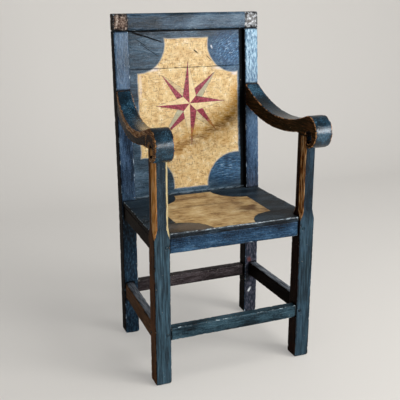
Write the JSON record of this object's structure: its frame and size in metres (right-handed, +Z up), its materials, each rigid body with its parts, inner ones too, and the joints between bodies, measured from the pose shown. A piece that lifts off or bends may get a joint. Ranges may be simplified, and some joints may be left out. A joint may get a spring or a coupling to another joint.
{
  "type": "painted armchair",
  "caption": "Joined wooden armchair with a raked panel back, scrolled arms, board seat and box stretchers, in worn blue paint with cream fields and a compass star.",
  "frame": {"origin": "centre of the overall box, on the floor", "axes": "+X to the right as seen from the front, +Y towards the back, +Z up"},
  "size_m": [0.51, 0.4658, 1.008],
  "materials": {
    "blue_painted_wood": "worn blue oil paint under old gloss varnish",
    "painted_arm_support": "worn blue oil paint, chamfers rubbed to bare wood",
    "painted_arm": "worn blue oil paint, sides rubbed to bare wood",
    "painted_panel": "blue paint with a cream field and a red and cream compass star, varnished",
    "painted_seat": "blue paint with a tan field, worn and varnished",
    "peg_wood": "painted over with the frame",
    "nail_iron": "painted over with the seat"
  },
  "bodies": {
    "root": {"front_post_left": "painted_arm_support", "front_post_right": "painted_arm_support", "rear_post_left": "blue_painted_wood", "rear_post_right": "blue_painted_wood", "front_seat_rail": "blue_painted_wood", "rear_seat_rail": "blue_painted_wood", "side_seat_rail_left": "blue_painted_wood", "side_seat_rail_right": "blue_painted_wood", "front_stretcher": "blue_painted_wood", "rear_stretcher": "blue_painted_wood", "side_stretcher_left": "blue_painted_wood", "side_stretcher_right": "blue_painted_wood", "crest_rail": "blue_painted_wood", "back_board_top": "painted_panel", "back_board_middle": "painted_panel", "back_board_bottom": "painted_panel", "seat_board_front": "painted_seat", "seat_board_middle": "painted_seat", "seat_board_rear": "painted_seat", "arm_left": "painted_arm", "arm_right": "painted_arm", "joint_pegs": "peg_wood", "seat_nails": "nail_iron"}
  },
  "joints": []
}
